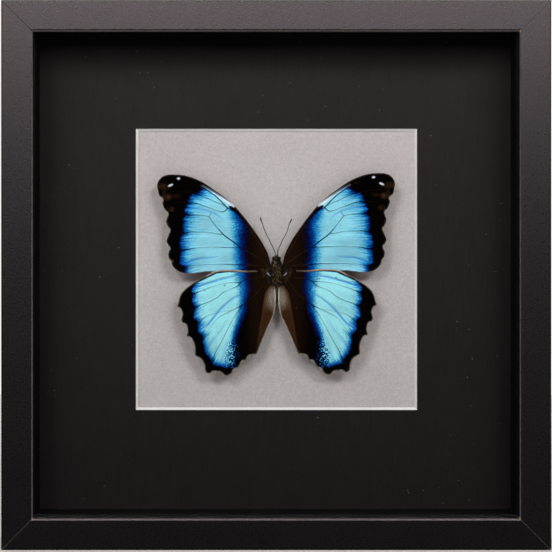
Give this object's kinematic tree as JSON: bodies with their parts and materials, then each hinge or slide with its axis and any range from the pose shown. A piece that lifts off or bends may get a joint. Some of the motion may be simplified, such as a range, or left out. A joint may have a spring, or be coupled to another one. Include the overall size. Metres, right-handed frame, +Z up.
{
  "type": "framed butterfly specimen",
  "caption": "Deep square box frame with glass, black window mount and grey card, holding a spread blue butterfly specimen for display on a shelf or wall.",
  "frame": {"origin": "middle of the frame's footprint, on the surface that the bottom rail stands on", "axes": "+Z up, +X to the right as seen from the front, +Y from the glass towards the wall"},
  "size_m": [0.25, 0.045, 0.25],
  "materials": {
    "frame_foil": "MDF wrapped in satin black foil with a fine pebbled grain",
    "glass": "clear float glass",
    "inner_wall": "matt black foil on MDF strips",
    "mount_board": "matt black mount board with a white core that shows on the bevel",
    "grey_card": "matt pale grey card with a fine mottle",
    "hardboard": "brown hardboard, smooth face with fibre flecks",
    "steel": "thin zinc-plated sheet steel",
    "wing": "iridescent blue wing scales with dark brown margins",
    "insect_body": "dark brown hair over a dry shell",
    "antenna": "dark dry chitin",
    "foam": "pale dense mounting foam"
  },
  "bodies": {
    "root": {"rail_bottom": "frame_foil", "rail_left": "frame_foil", "rail_top": "frame_foil", "rail_right": "frame_foil", "glass": "glass", "spacer_bottom": "inner_wall", "spacer_left": "inner_wall", "spacer_top": "inner_wall", "spacer_right": "inner_wall", "window_mount": "mount_board", "background_card": "grey_card", "back_board": "hardboard", "board_tab_bottom_1": "steel", "board_tab_bottom_2": "steel", "board_tab_left_1": "steel", "board_tab_left_2": "steel", "board_tab_top_1": "steel", "board_tab_top_2": "steel", "board_tab_right_1": "steel", "board_tab_right_2": "steel", "hanger": "steel", "hanger_rivet_left": "steel", "hanger_rivet_right": "steel", "forewing_left": "wing", "forewing_right": "wing", "hindwing_left": "wing", "hindwing_right": "wing", "head": "insect_body", "thorax": "insect_body", "abdomen": "insect_body", "antenna_left": "antenna", "antenna_right": "antenna", "leg_middle_left": "antenna", "leg_middle_right": "antenna", "leg_hind_left": "antenna", "leg_hind_right": "antenna", "mounting_block": "foam"}
  },
  "joints": []
}
